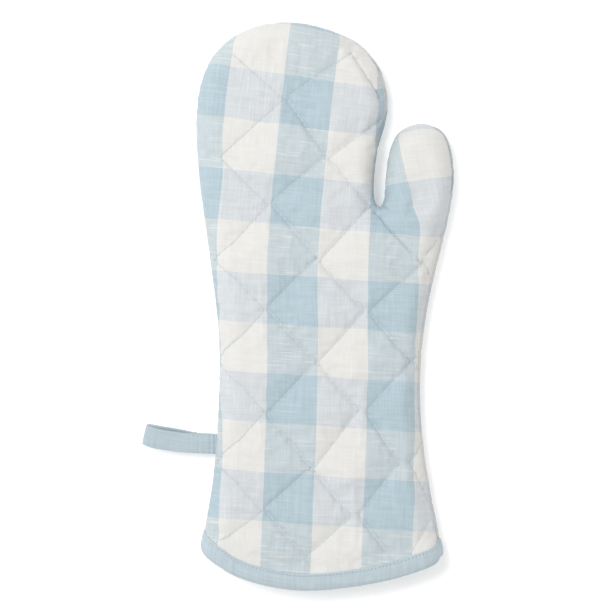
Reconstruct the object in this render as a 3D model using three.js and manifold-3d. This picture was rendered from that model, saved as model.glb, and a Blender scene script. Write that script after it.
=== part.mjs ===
// Quilted oven mitt, lying flat with its fingers towards +Y and its thumb on the +X side.
// Millimetres, +Z up. The hand, the thumb and the hanging loop are separate moving groups.
import * as THREE from 'three';
import { mergeVertices } from 'three/addons/utils/BufferGeometryUtils.js';
import Module from 'manifold-3d';

const wasm = await Module();
wasm.setup();

// ---- Driving dimensions -------------------------------------------------------------------

// The seam line from the cuff's thumb side round the thumb and the fingers to the other side.
const SEAM_LINE = [
  [96, -215], [87.5, -165], [82.5, -137], [77, -108], [73, -82], [71, -50], [72.5, -20],
  [77.5, 10], [84, 37], [88.5, 56], [90.7, 74], [88.8, 91], [83.2, 102], [73.5, 105.8],
  [63.8, 104.2], [56.8, 98.8], [52.5, 88], [50.5, 74], [49.8, 62.5], [47.1, 57.7],
  [44.4, 62.5], [44.6, 76], [47, 94], [50.9, 108], [52, 119], [50, 131], [45, 142],
  [33, 154.2], [15, 161.8], [-5, 165], [-27, 161.9], [-45, 151], [-55.5, 134], [-59.7, 108],
  [-57.6, 70], [-52, 29], [-47.2, -12], [-46.5, -45], [-49.5, -96], [-55.5, -133],
  [-62, -165], [-72, -215],
];
// The bound edge of the cuff, which is also the lowest line of the outline.
const CUFF_LINE = [
  [-110, -105], [-78, -126], [-57.5, -141.5], [-40, -155.3], [-16, -163], [10, -165.1],
  [45, -160.6], [72, -153], [85, -146], [110, -130],
];
const SAMPLES_PER_POINT = 2;

const SEAM_Z = 11;             // height of the side seam above the table
const FRONT = { name: 'front', up: 1, rise: 15, bevel: 13 };
const BACK = { name: 'back', up: -1, rise: 11, bevel: 10 };
const BEVEL_STEPS = 2;
const WAIST = 0.2;

// Depths of each layer's two faces below the mitt's outer surface.
const FACE = { outer: 0, inner: 1.2 };
const BATTING = { outer: 1.5, inner: 5.3 };
const LINING = { outer: 5.6, inner: 6.2 };
const FACE_SEAM_GAP = 0.2;     // from the seam plane to the face cloth's edge
const BATTING_SEAM_GAP = 0.7;  // from the seam plane to the batting and the lining

const CLEARANCE = 0.3;
const BINDING_WIDTH = 10;
const BINDING_THICKNESS = 0.5;
const BINDING_FOLD = 0.6;      // cloth thickness at the folded lower edge
const BINDING_STITCH_HEIGHT = 8;

const THREAD = 0.8;
const SEAM_THREAD_DEPTH = 3;
const QUILT_THREAD_DEPTH = 1.6;
const QUILT_HALF_WIDTH = 13;   // how far a quilting zigzag swings each way
const QUILT_STEP = 29.5;       // height from one zigzag corner to the next
const QUILT_PHASE = -2.5;      // height of the corner nearest the middle of the mitt
// Each row of quilting: its middle, which way its first corner points, and how far it runs.
const QUILT_ROWS = [
  { name: 'outer_side', middle: -32, turn: 1, low: -136, high: 112, xMin: -40, xMax: 80 },
  { name: 'middle', middle: -3.5, turn: -1, low: -148, high: 144, xMin: -60, xMax: 80 },
  { name: 'thumb_side', middle: 25.5, turn: 1, low: -148, high: 136, xMin: -60, xMax: 39 },
  { name: 'thumb_base', middle: 54, turn: -1, low: -140, high: 1, xMin: -60, xMax: 65 },
];

const CROTCH = new THREE.Vector2(47.1, 58.6);      // between the thumb and the fingers
const THUMB_FOLD_END = new THREE.Vector2(79, 12);  // where the thumb's fold meets the side
const FOLD_GAP = 0.2;          // on each side of the fold line
const PAST_FOLD = 60;          // how far the cut along the fold line runs beyond its end
// The cut up the slot between the thumb and the fingers, then round outside the thumb.
const THUMB_CUT = [[47.2, 68], [47.9, 80], [50.5, 92], [55, 106], [58, 130], [140, 130], [140, -60]];
// The wrist's thread in the side seam is to the right of and below this place.
const WRIST_SEAM = { x: 40, y: 45 };

const LOOP = {
  x: -50.4, y: -81, width: 12, reach: 40, cloth: 1.5, eye: 6.4, lean: 0.14,
  rootRadius: 1.6, neckLength: 4.6, neckThickness: 2.2, tailLength: 1.8, tailThickness: 0.8,
  eyeStart: 3.4,               // from the root's axis to the place where the two legs part
  curve: [8, 12],              // how far past that place each leg's curve is steered
};

const COLOURS = {
  face: '#c3d3dc', batting: '#f4f2ec', lining: '#eceae3', binding: '#afc5d1',
  loop: '#b4c8d3', thread: '#e4e9ec',
};

// Cutting forms reach past the mitt on every side.
const FAR = 300;
const CUT_LOW = -30;
const CUT_HEIGHT = 80;

// ---- Solid helpers ------------------------------------------------------------------------

function solid(geometry) {
  geometry.deleteAttribute('normal');
  geometry.deleteAttribute('uv');
  const merged = mergeVertices(geometry, 1e-4);
  return new wasm.Manifold(new wasm.Mesh({
    numProp: 3,
    vertProperties: new Float32Array(merged.attributes.position.array),
    triVerts: new Uint32Array(merged.index.array),
  }));
}

function box(low, high) {
  const size = high.map((value, axis) => value - low[axis]);
  const geometry = new THREE.BoxGeometry(...size);
  geometry.translate(low[0] + size[0] / 2, low[1] + size[1] / 2, low[2] + size[2] / 2);
  return solid(geometry);
}

// A straight-sided prism of a plan outline, tall enough to pass through the whole mitt.
function prism(points) {
  const shape = new THREE.Shape(points);
  const geometry = new THREE.ExtrudeGeometry(shape, { depth: CUT_HEIGHT, bevelEnabled: false });
  geometry.translate(0, 0, CUT_LOW);
  return solid(geometry);
}

function slab(zLow, zHigh) {
  return box([-FAR, -FAR, zLow], [FAR, FAR, zHigh]);
}

function surfaceOf(manifold) {
  const { vertProperties, triVerts } = manifold.getMesh();
  const geometry = new THREE.BufferGeometry();
  geometry.setAttribute('position', new THREE.BufferAttribute(vertProperties, 3));
  geometry.setIndex(new THREE.BufferAttribute(triVerts, 1));
  return geometry;
}

function mesh(name, manifold, colour, roughness = 0.95) {
  const geometry = surfaceOf(manifold);
  geometry.computeVertexNormals();
  const material = new THREE.MeshStandardMaterial({ color: colour, roughness, metalness: 0 });
  const part = new THREE.Mesh(geometry, material);
  part.name = name;
  return part;
}

// ---- Outline, pillow and cutting regions --------------------------------------------------

function smooth(points) {
  const curve = new THREE.SplineCurve(points.map(([x, y]) => new THREE.Vector2(x, y)));
  return curve.getPoints((points.length - 1) * SAMPLES_PER_POINT);
}

const outline = smooth(SEAM_LINE);
const cuffLine = smooth(CUFF_LINE);

// The mitt's rounded outer form seen from one side, shrunk by a depth below its surface.
// Its rim lies on the seam plane, and only the half on that side is used.
function pillow(side, depth) {
  const geometry = new THREE.ExtrudeGeometry(new THREE.Shape(outline), {
    depth: WAIST,
    bevelThickness: side.rise - depth - WAIST / 2,
    bevelSize: side.bevel - depth,
    bevelOffset: -side.bevel,
    bevelSegments: BEVEL_STEPS,
  });
  geometry.translate(0, 0, SEAM_Z - WAIST / 2);
  return solid(geometry);
}

function halfSpace(side, gap) {
  return side.up > 0 ? slab(SEAM_Z + gap, FAR) : slab(-FAR, SEAM_Z - gap);
}

// Everything between the mouth and a line a set height above the cuff's bound edge.
function belowCuffLine(height) {
  const points = cuffLine.map((point) => new THREE.Vector2(point.x, point.y + height));
  const [first, last] = [points[0], points[points.length - 1]];
  return prism([...points, new THREE.Vector2(last.x, -FAR), new THREE.Vector2(first.x, -FAR)]);
}

// The thumb's part of the plan: past the fold line, and on its own side of the slot.
function thumbRegion(offset) {
  const along = THUMB_FOLD_END.clone().sub(CROTCH).normalize();
  const across = new THREE.Vector2(-along.y, along.x).multiplyScalar(offset);
  const start = CROTCH.clone().add(across);
  const end = THUMB_FOLD_END.clone().add(along.multiplyScalar(PAST_FOLD)).add(across);
  return prism([start, ...THUMB_CUT.map(([x, y]) => new THREE.Vector2(x, y)), end]);
}

// A thin upright wall that follows a line of points in plan.
function wall(points, width) {
  let result = null;
  for (let i = 1; i < points.length; i += 1) {
    const run = points[i].clone().sub(points[i - 1]);
    const geometry = new THREE.BoxGeometry(run.length() + width, width, CUT_HEIGHT);
    geometry.rotateZ(run.angle());
    const middle = points[i].clone().add(points[i - 1]).multiplyScalar(0.5);
    geometry.translate(middle.x, middle.y, CUT_LOW + CUT_HEIGHT / 2);
    result = result ? result.add(solid(geometry)) : solid(geometry);
  }
  return result;
}

function zigzag(row) {
  const at = (y) => {
    const swing = (y - QUILT_PHASE) / QUILT_STEP;
    const wave = 1 - 2 * Math.abs(swing - 2 * Math.round(swing / 2));
    const x = row.middle + row.turn * QUILT_HALF_WIDTH * wave;
    return new THREE.Vector2(THREE.MathUtils.clamp(x, row.xMin, row.xMax), y);
  };
  const first = Math.ceil((row.low - QUILT_PHASE) / QUILT_STEP);
  const last = Math.floor((row.high - QUILT_PHASE) / QUILT_STEP);
  const heights = [row.low];
  for (let i = first; i <= last; i += 1) {
    const y = QUILT_PHASE + i * QUILT_STEP;
    if (y > row.low + 1 && y < row.high - 1) heights.push(y);
  }
  heights.push(row.high);
  return heights.map(at);
}

const rawEdge = belowCuffLine(BINDING_FOLD + CLEARANCE);
const bindingBand = belowCuffLine(BINDING_WIDTH + CLEARANCE);
const thumbSide = thumbRegion(FOLD_GAP);
const thumbAndFold = thumbRegion(-FOLD_GAP);

function handPart(whole) {
  return whole.subtract(thumbAndFold);
}

function thumbPart(whole) {
  return whole.intersect(thumbSide);
}

// ---- Sewn layers --------------------------------------------------------------------------

function layer(side, depths, seamGap) {
  const shell = pillow(side, depths.outer).subtract(pillow(side, depths.inner));
  return shell.intersect(halfSpace(side, seamGap)).subtract(rawEdge);
}

// The face cloth thins where the binding presses on it, so the binding lies flush.
function faceCloth(side) {
  const pressed = pillow(side, BINDING_THICKNESS + CLEARANCE);
  const cloth = layer(side, FACE, FACE_SEAM_GAP).subtract(bindingBand.subtract(pressed));
  return cloth.subtract(loopTailSpace());
}

function stitchGroove(side, points) {
  const floor = QUILT_THREAD_DEPTH + THREAD + CLEARANCE;
  return wall(points, THREAD + 2 * CLEARANCE).subtract(pillow(side, floor));
}

// Thread pulled into the batting under the face cloth, along a line of points in plan.
function stitchLine(side, points) {
  const top = pillow(side, QUILT_THREAD_DEPTH);
  const level = top.subtract(pillow(side, QUILT_THREAD_DEPTH + THREAD));
  return wall(points, THREAD).intersect(level).intersect(halfSpace(side, BATTING_SEAM_GAP));
}

function battingPad(side) {
  let pad = layer(side, BATTING, BATTING_SEAM_GAP);
  for (const row of QUILT_ROWS) {
    pad = pad.subtract(stitchGroove(side, zigzag(row)));
  }
  const band = belowCuffLine(BINDING_STITCH_HEIGHT + THREAD + CLEARANCE)
    .subtract(belowCuffLine(BINDING_STITCH_HEIGHT - CLEARANCE));
  const floor = QUILT_THREAD_DEPTH + THREAD + CLEARANCE;
  return pad.subtract(band.subtract(pillow(side, floor)));
}

function liningCloth(side) {
  return layer(side, LINING, BATTING_SEAM_GAP);
}

// Both halves of a form that runs right round the mitt, as one piece.
function allRound(depth) {
  return pillow(FRONT, depth).intersect(halfSpace(FRONT, 0))
    .add(pillow(BACK, depth).intersect(halfSpace(BACK, 0)));
}

function cuffBinding() {
  const innerLeg = LINING.inner + CLEARANCE;
  const ring = allRound(0).subtract(allRound(innerLeg + BINDING_THICKNESS));
  const panels = allRound(BINDING_THICKNESS).subtract(allRound(innerLeg));
  const band = belowCuffLine(BINDING_WIDTH).subtract(belowCuffLine(0));
  return ring.intersect(band).subtract(panels.subtract(belowCuffLine(BINDING_FOLD)));
}

function bindingStitch() {
  const band = belowCuffLine(BINDING_STITCH_HEIGHT + THREAD)
    .subtract(belowCuffLine(BINDING_STITCH_HEIGHT));
  const top = allRound(QUILT_THREAD_DEPTH);
  return top.subtract(allRound(QUILT_THREAD_DEPTH + THREAD)).intersect(band);
}

function seamThread() {
  const outer = pillow(FRONT, SEAM_THREAD_DEPTH);
  const ring = outer.subtract(pillow(FRONT, SEAM_THREAD_DEPTH + THREAD));
  const level = slab(SEAM_Z - THREAD / 2, SEAM_Z + THREAD / 2);
  return ring.intersect(level).subtract(belowCuffLine(BINDING_WIDTH + 2 * CLEARANCE));
}

// ---- Hanging loop -------------------------------------------------------------------------

// The strap's closed teardrop in side view: two legs, a round far end and a rolled root.
function hangingLoop() {
  const legs = (grow) => {
    const shape = new THREE.Shape();
    const half = LOOP.eye / 2 + grow;
    const start = LOOP.eyeStart - grow;
    const [near, far] = LOOP.curve.map((distance) => -start - distance);
    const end = LOOP.reach - LOOP.cloth - LOOP.eye / 2;
    shape.moveTo(-start, 0);
    shape.bezierCurveTo(near, half, far, half, -end, half);
    shape.absarc(-end, 0, half, Math.PI / 2, Math.PI * 1.5, false);
    shape.bezierCurveTo(far, -half, near, -half, -start, 0);
    return shape;
  };
  const options = { depth: LOOP.width, bevelEnabled: false, curveSegments: 8 };
  const outer = solid(new THREE.ExtrudeGeometry(legs(LOOP.cloth), options));
  const inner = new THREE.ExtrudeGeometry(legs(0), { ...options, depth: LOOP.width + 2 });
  inner.translate(0, 0, -1);
  const root = new THREE.CylinderGeometry(LOOP.rootRadius, LOOP.rootRadius, LOOP.width, 16);
  root.rotateX(Math.PI / 2);
  root.translate(0, 0, LOOP.width / 2);
  const neck = new THREE.BoxGeometry(LOOP.neckLength, LOOP.neckThickness, LOOP.width);
  neck.translate(-LOOP.neckLength / 2, 0, LOOP.width / 2);
  const strap = outer.add(solid(neck)).subtract(solid(inner)).add(solid(root));
  const geometry = surfaceOf(strap);
  geometry.rotateX(-Math.PI / 2);
  const lean = new THREE.Matrix4().makeShear(-LOOP.lean, 0, 0, 0, 0, 0);
  geometry.applyMatrix4(lean);
  geometry.translate(LOOP.x, LOOP.y - LOOP.width / 2, SEAM_Z);
  return solid(geometry);
}

function loopTailBox(grow) {
  const half = LOOP.width / 2 + grow;
  const rise = LOOP.tailThickness / 2 + grow;
  const start = LOOP.x + LOOP.rootRadius + CLEARANCE - grow;
  const end = start + LOOP.tailLength + 2 * grow;
  return box([start, LOOP.y - half, SEAM_Z - rise], [end, LOOP.y + half, SEAM_Z + rise]);
}

function loopTailSpace() {
  return loopTailBox(CLEARANCE);
}

// ---- Assembly -----------------------------------------------------------------------------

const hand = new THREE.Group();
const thumb = new THREE.Group();
const loop = new THREE.Group();

for (const side of [FRONT, BACK]) {
  const layers = [
    ['face', faceCloth(side), COLOURS.face],
    ['batting', battingPad(side), COLOURS.batting],
    ['lining', liningCloth(side), COLOURS.lining],
  ];
  for (const [name, whole, colour] of layers) {
    hand.add(mesh(`${side.name}_${name}`, handPart(whole), colour));
    thumb.add(mesh(`thumb_${side.name}_${name}`, thumbPart(whole), colour));
  }
  for (const row of QUILT_ROWS) {
    const name = `${side.name}_quilting_${row.name}`;
    hand.add(mesh(name, stitchLine(side, zigzag(row)), COLOURS.thread, 0.7));
  }
}

const seam = seamThread();
const handSeam = handPart(seam);
const wristSide = box([WRIST_SEAM.x, -FAR, -FAR], [FAR, WRIST_SEAM.y, FAR]);
hand.add(mesh('seam_thread_fingers', handSeam.subtract(wristSide), COLOURS.thread, 0.7));
hand.add(mesh('seam_thread_wrist', handSeam.intersect(wristSide), COLOURS.thread, 0.7));
thumb.add(mesh('seam_thread_thumb', thumbPart(seam), COLOURS.thread, 0.7));
hand.add(mesh('cuff_binding', cuffBinding(), COLOURS.binding));
hand.add(mesh('binding_stitching', bindingStitch(), COLOURS.thread, 0.7));
hand.add(mesh('hanging_loop_tail', loopTailBox(0), COLOURS.loop));
loop.add(mesh('hanging_loop', hangingLoop(), COLOURS.loop));

const mitt = new THREE.Group();
mitt.add(hand, thumb, loop);

// The origin is the middle of the mitt's bounding box, on the table.
const bounds = new THREE.Box3().setFromObject(mitt);
mitt.position.set(-(bounds.min.x + bounds.max.x) / 2, -(bounds.min.y + bounds.max.y) / 2,
  -bounds.min.z);

export default mitt;
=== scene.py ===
"""Looks of the quilted oven mitt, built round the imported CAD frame. Lengths are in millimetres
until a mesh is made, and the mitt lies on its back with its fingers towards +Y."""

import math

import bpy
import numpy as np
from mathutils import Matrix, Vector, bvhtree, geometry, kdtree


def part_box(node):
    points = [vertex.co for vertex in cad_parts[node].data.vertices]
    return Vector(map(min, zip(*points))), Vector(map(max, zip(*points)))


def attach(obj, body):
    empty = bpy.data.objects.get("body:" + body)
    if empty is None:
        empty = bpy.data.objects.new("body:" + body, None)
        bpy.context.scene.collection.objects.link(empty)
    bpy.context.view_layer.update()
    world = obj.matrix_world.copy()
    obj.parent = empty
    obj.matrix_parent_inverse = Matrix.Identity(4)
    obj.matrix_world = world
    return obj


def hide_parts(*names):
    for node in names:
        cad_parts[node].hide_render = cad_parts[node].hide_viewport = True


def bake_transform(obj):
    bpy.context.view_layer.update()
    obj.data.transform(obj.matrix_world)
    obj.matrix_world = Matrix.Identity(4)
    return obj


MM = 0.001

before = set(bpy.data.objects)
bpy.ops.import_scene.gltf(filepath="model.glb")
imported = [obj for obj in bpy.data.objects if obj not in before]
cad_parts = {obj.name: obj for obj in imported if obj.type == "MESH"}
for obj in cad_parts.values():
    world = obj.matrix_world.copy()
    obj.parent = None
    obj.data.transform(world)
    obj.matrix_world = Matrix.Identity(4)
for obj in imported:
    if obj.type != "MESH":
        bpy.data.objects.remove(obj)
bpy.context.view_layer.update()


# ---- Places taken from the frame ----

def box_mm(node):
    low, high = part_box(node)
    return np.array(low) / MM, np.array(high) / MM


FRONT_BOX = box_mm("front_face")
BACK_BOX = box_mm("back_face")
LOOP_BOX = box_mm("hanging_loop")
SEAM_Z = (FRONT_BOX[0][2] + BACK_BOX[1][2]) / 2
TOP_Z = FRONT_BOX[1][2]


# ---- Driving dimensions ----

# The side seam in plan, from the cuff's thumb side round the thumb and the fingers.
SEAM_LINE = [
    (96, -215), (87.5, -165), (82.5, -137), (77, -108), (73, -82), (71, -50), (72.5, -20),
    (77.5, 10), (84, 37), (88.5, 56), (90.7, 74), (88.8, 91), (83.2, 102), (73.5, 105.8),
    (63.8, 104.2), (56.8, 98.8), (52.5, 88), (50.5, 74), (49.8, 62.5), (47.1, 57.7),
    (44.4, 62.5), (44.6, 76), (47, 94), (50.9, 108), (52, 119), (50, 131), (45, 142),
    (33, 154.2), (15, 161.8), (-5, 165), (-27, 161.9), (-45, 151), (-55.5, 134),
    (-59.7, 108), (-57.6, 70), (-52, 29), (-47.2, -12), (-46.5, -45), (-49.5, -96),
    (-55.5, -133), (-62, -165), (-72, -215),
]
# The bound edge of the cuff in plan.
CUFF_LINE = [
    (-110, -105), (-78, -126), (-57.5, -141.5), (-40, -155.3), (-16, -163), (10, -165.1),
    (45, -160.6), (72, -153), (85, -146), (110, -130),
]
SEAM_SEEN_ABOVE = -150  # the seam line runs on below the cuff, and is placed by the rest of it
SEAM_SPACING = 0.9
CURVE_STEPS = 24  # points on a smooth curve for each one that is given
RAW_EDGE = 0.9  # the panels' cut edge above the bound edge
BINDING_WIDTH = 10.2

WARP_CHECK = 29.1  # width of one upright stripe of the check
WEFT_CHECK = 28.6  # and of one level stripe
CHECK_X = -18.4  # a warp stripe's edge, at the middle of the mitt
CHECK_Y = 16.4  # a weft stripe's edge, at CHECK_MIDDLE
CHECK_MIDDLE = 10.5
# The warp stripes' lean: how far, where in y it starts, where it is all there, and its power.
FINGER_LEAN = (13.5, 20, 161, 1.35)
WRIST_LEAN = (-4.2, -30, -153, 1.5)
THUMB_LEAN = -0.2  # for each mm above THUMB_UPRIGHT
THUMB_UPRIGHT = 43
THUMB_CLOTH = ((46, 51), (40, 58))  # where the thumb's own lean comes in, in x and in y
# Cloth drawn round the outer side, at the wrist and the little finger: how far, and the spans of
# x and of y over which it comes in.
DRAWN_ROUND = [(4.8, (-26, -44), (-50, -72)), (-3.0, (-22, -44), (65, 105))]
WEFT_FALL = 0.066  # how steeply the weft stripes fall towards the thumb side
WEFT_FALL_GAIN = 0.00072  # and how much steeper for each mm above FALL_START
FALL_START = 20
# On the thumb they start this much lower, and rise beyond THUMB_SIDE in x.
THUMB_DROP = 3.9
THUMB_RISE = 0.14
THUMB_SIDE = 50
THUMB_FOOT = (35, 70)  # where in y that rise comes in

QUILT_DEPTH = 2.4
QUILT_LEAST = 0.3  # share of the depth that the cloth keeps between the lines
QUILT_REACH = 6.0  # how far from its line the quilting draws the cloth in
QUILT_FADE = (0, 9)  # the quilting's depth comes in over these distances from the seam
UNDER_BINDING = 0.3  # how far the binding presses the cloth in
GROOVE_DEPTH = 1.5  # the narrow groove that the stitches themselves pull
GROOVE_WIDTH = 0.75
GROOVE_FADE = (1, 6)  # the groove comes in over these distances from the seam
RISING_SHARE = 0.6  # the rows' rising lines are pulled less tight than the falling ones
# How strongly each row of quilting draws the cloth in.
ROW_STRENGTH = (0.45, 1.0, 1.0, 1.0, 0.8)
STITCH_PITCH = 3.3

FACE_THICKNESS = 0.7
PADDING_DEPTH = 2.4  # from the outside of the cloth to the outside of the padding
LEAST_PADDING = 0.5  # above the lining, where the cloth is drawn in deepest
PADDING_OVERLAP = 0.2
LINING_DEPTH = 5.6
LINING_THICKNESS = 0.5
FRONT_BEVEL = 14  # how far in from the seam a panel gets level
BACK_BEVEL = 11
BACK_REST = 0.4  # the back's height above the table
SEAM_ROLL = 1.9  # how far the back's edge shows beside the front's on the thumb side
SLOT_ROLL = 0.25  # share of it that is left in the slot between thumb and fingers
# Where that slot is: its open end in y, the fingers' side in x, and its foot in y.
SLOT = ((104, 88), (51, 48), (50, 58))
BACK_RIM = 1.0  # how far the back's edge is drawn in where the seam doesn't roll
SEAM_TUCK = 0.8  # how far inside both edges the seam itself lies
ROLL_LIFT = 0.6  # how far the seam rises for each mm of its roll
CREASE_START = (0, 0.3)  # share of its length over which a crease comes in
CREASE_FADE = (0, 1.5)  # and distance from the seam over which it does
CREASE_HELD = 0.4  # where a crease is deeper than this, it is held
PIN_REACH = 1.0  # how near a point of the plan is to the stitch that holds it
SIMULATION_FRAMES = 20
LARGEST_PUFF = 3.0

TABLE_GAP = 0.02
UV_SCALE = 0.01
PLAN_SPACING = 1.6
COARSE_SPACING = 3.5
SEAM_CLEARANCE = 1.0  # between the seam and the plan's own points along quilting and creases
MOUTH_CLEARANCE = 1.5
MOUTH_SPACES = 0.8  # the other points' clearance there, in spacings
VERY_NEAR = 0.3  # nearer than this to the seam, the inward direction is the seam's own
RING_DEPTHS = (0.6, 1.3, 2.2, 3.2, 4.4, 5.8)
CREASE_RAILS = (-1.4, -0.7, 0.7, 1.4)
THREAD_RADIUS = 0.27
THREAD_SIDES = 6
STITCH_DIP = 2.6  # how many radii deeper a stitch is at its ends than at its middle
STITCH_THINNING = 0.35
# The needle holes are drawn as dark discs: painted shade, standing for the shadow inside each
# hole.
HOLE_RADIUS = 0.22
HOLE_SIDES = 8
HOLE_LIFT = 0.06
BINDING_HOLE_RADIUS = 0.36
THREAD_PITCH = 0.62
THREAD_SWING = 0.9  # how far a thread goes up and down over the crossing ones
WARP_LEAD = 0.35  # how far the warp stands above the weft, so that it shows more
WEFT_SHARE = 0.33  # how much of the cloth's face the weft makes up
SHARE_CONTRAST = 0.22  # how much that changes from the threads' overs to their unders
DRIFT_SCALE = 0.05  # of the threads' slow wandering
ALONG_THREAD = 0.03  # how slowly a thread changes along its length
SLUB_RANGE = (0.70, 0.78)
SLUB_HEIGHT = 0.6
# How much the thick places show in undyed and in dyed yarn.
WEFT_SLUBS = (0.27, 0.07)
WARP_SLUBS = (0.16, 0.06)
UNEVEN_UNDYED = 0.16  # how uneven in tone the yarns are, and what each dyed one adds
UNEVEN_DYED = 0.12
PATCH_SCALE = 0.22
PATCH_SHADE = 0.05
# Painted shade in the weave: the colour is darker in the gaps between the threads and lighter on
# their tops.
GAP_PAINTED_SHADE = 0.10  # how much darker the gaps between the threads are
GAP_HEIGHTS = (-0.2, 1.2)
CLOTH_SHADE = 0.88
CRUMPLE_SCALE = 0.35
# Heights in millimetres and strengths of the relief.
CRUMPLE_BUMP = (0.35, 0.25)
THREAD_BUMP = (0.05, 0.7)
FIBRE_BUMP = (0.1, 0.6)
FIBRE_SHADE = (0.85, 0.3)  # the darkest fibres, and what the lightest have above them
SEAM_PITCH = 2.8
SEAM_SINK = 0.25  # how far the seam's thread is pulled into the cloth
TURNED_UNDER = 1.2  # how far from the seam the cloth is held by it
FOLD_HIDES = 1.5  # how far from the thumb's fold its stitches can't be seen
FOLD_OPENS = 6  # how far below the fold's middle they show again
STITCH_MARGIN = 5.0  # the quilting's effect on the cloth ends this far from the seam
STITCH_CLEARANCE = 3.0  # and its stitches are shown up to this far from it
TOPSTITCH_PITCH = 2.2
TOPSTITCH_ABOVE = 8.9
TOPSTITCH_RADIUS = 0.8 * THREAD_RADIUS
QUILTED_ABOVE = (TOPSTITCH_ABOVE - 1, TOPSTITCH_ABOVE + 8)  # where its depth comes in

# The binding's section: height above the cuff's edge, and depth below the panel's surface.
BINDING_PROFILE = [
    (10.2, 0.3), (10.25, -0.1), (9.9, -0.5), (9.4, -0.6), (8.9, -0.45), (8.4, -0.65),
    (7, -0.85), (5, -0.9), (3, -0.75), (1.4, -0.3), (0.5, 0.6), (0.1, 1.8), (0, 3.1),
    (0.1, 4.6), (0.5, 5.8), (1.4, 6.6), (3, 7.0), (6, 7.1), (9, 6.9), (9.6, 6.5), (9.4, 6.1),
    (6, 6.1), (3, 6.0), (1.6, 5.2), (1.2, 3.1), (1.6, 1.2), (3, 0.3), (6, 0.15), (8.9, 0.25),
]

# The strap's middle line, from the seam out along the front leg and back along the rear one. It
# is drawn for a loop whose box in the frame starts at STRAP_REACH in x.
STRAP_REACH = -90.53
STRAP_PATH = [
    (-46.5, -80.9, 11.3), (-50, -80.8, 11.5), (-58, -80.5, 11.8), (-69.6, -79.8, 12.0),
    (-80, -78.3, 12.2), (-86, -77.1, 12.1), (-89, -76.0, 11.6), (-90, -75.3, 10.5),
    (-89, -74.9, 9.5), (-86, -75.2, 9.1), (-80, -75.9, 9.2), (-69.6, -77.6, 9.5),
    (-58, -79.9, 10.0), (-50, -80.6, 10.5), (-46.5, -80.8, 10.7),
]

# Colours are linear.
WHITE_YARN = (0.78, 0.772, 0.742)
BLUE_YARN = (0.468, 0.58, 0.636)
CROSSED_TINT = (0.60, 0.58, 0.89)
CROSSED_SHARE = 0.07
BINDING_BLUE = (0.515, 0.605, 0.65)
# The strap's cloth is the binding's blue, painted about 7% darker as shade for how the strap lies
# to the light.
STRAP_BLUE_SHADED = (0.475, 0.565, 0.61)
PADDING_WHITE = (0.75, 0.74, 0.70)
THREAD_COLOUR = (0.64, 0.70, 0.73)
# Colour of the needle-hole discs: painted shade.
HOLE_SHADE_COLOUR = (0.34, 0.40, 0.44)
BINDING_THREAD = (0.55, 0.64, 0.68)
# Colour of the binding's needle-hole discs: painted shade, nearly black.
BINDING_HOLE_SHADE = (0.10, 0.14, 0.18)
FLOOR_WHITE = (0.93, 0.93, 0.93)

BINDING_COLUMNS = 1000
BINDING_WAVE = 0.22  # height of the binding's unevenness, and its wave lengths
BINDING_WAVES = (9.3, 14.1, 22.7)
BINDING_SOFT = ((0, 5), (11, 7))  # heights at which it comes in and fades again
BINDING_INSIDE = 0.3  # share of it inside the mouth
NEEDLE_DIP = 0.10  # how far each topstitch pulls the binding in
NEEDLE_REACH = 0.8

STRAP_WIDTH = 11.6
STRAP_CLOTH = 1.5
STRAP_TILT = 0.23  # how far the strap's width leans over at its folded end
STRAP_TILTED = (-60, -90)  # where in x that comes in
STRAP_LEAN = 0.45  # how far it leans on its rear leg
STRAP_CUP = 1.6  # how far the rear leg's middle bows away from the front one
STRAP_REAR = ((0.5, 0.62), (1, 0.8))  # shares of its length where both come in and fade again
STRAP_PLEAT = 0.5  # the pleats where the strap is gathered into the seam
STRAP_PLEATS = (2.3, 3.1)
STRAP_PLEATED = (-72, -50)
STRAP_GROOVE = 0.12  # depth and width of the line of stitching along each edge
STRAP_GROOVE_WIDTH = 0.35
STRAP_STITCHED = 0.78  # where it is, as a share of the half width
STRAP_EDGE = 0.95  # and where the rounded edge starts
STRAP_THINNING = 0.12
STRAP_ROWS = 200

# The palm's fold at the foot of the thumb, towards the crotch. It is also a quilting line.
THUMB_FOLD = [(71, 24), (44, 52.5)]
# The zigzag rows of quilting through their corners, from the cuff upwards and the outer side in.
QUILTING = [np.array(row, float) for row in [
    [(-50, -140), (-21.5, -119), (-46, -91), (-20.3, -61.5), (-46, -32), (-20, -2.5),
     (-47, 27), (-17.8, 58.5), (-46, 86), (-9, 119.5), (-38, 145)],
    [(7, -150), (-20, -118), (7, -94), (-18.6, -63), (9.9, -33), (-18.4, -2),
     (10.4, 27.8), (-16, 59.5), (15.9, 87), (-7.3, 120), (29.8, 146)],
    [(0, -149), (29.8, -122.5), (8, -95), (34.4, -60.5), (10.5, -33.5), (38, -3),
     (11.5, 25.5), (40.3, 57), (17, 85.5), (53, 112), (29.8, 146)],
    [(57, -150), (34.5, -121.5), (58, -91.2), (39, -61.5), (64.5, -32.5), (41, -4), *THUMB_FOLD],
    [(60, -150), (78, -120.5), (63.9, -91), (84, -61.5), (65.6, -32), (88, -2.5),
     (70.6, 27), (96, 56.5)],
]]
# Sharp folds in the front's cloth: the line, the depth and the half width.
CREASES = [
    (THUMB_FOLD, 4.1, 0.8), ([(42.8, 57.6), (38.3, 57)], 2.2, 0.6),
    ([(49, 57.2), (54.3, 54.1)], 2.2, 0.6), ([(47.6, 55.4), (48.8, 52.4)], 1.8, 0.6),
]
# Plan region of the pieces that never follow the thumb. Its lower edge runs along the quilting.
FINGER_REGION = [
    (47.1, 57), (47.3, 70), (50, 88), (58, 104.5), (60, 120), (60, 175), (-75, 175),
    (-75, -32), (-46, -32), (-20, -2.5), (10.5, 27), (40.3, 56.5),
]


# ---- Plan geometry ----

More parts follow.
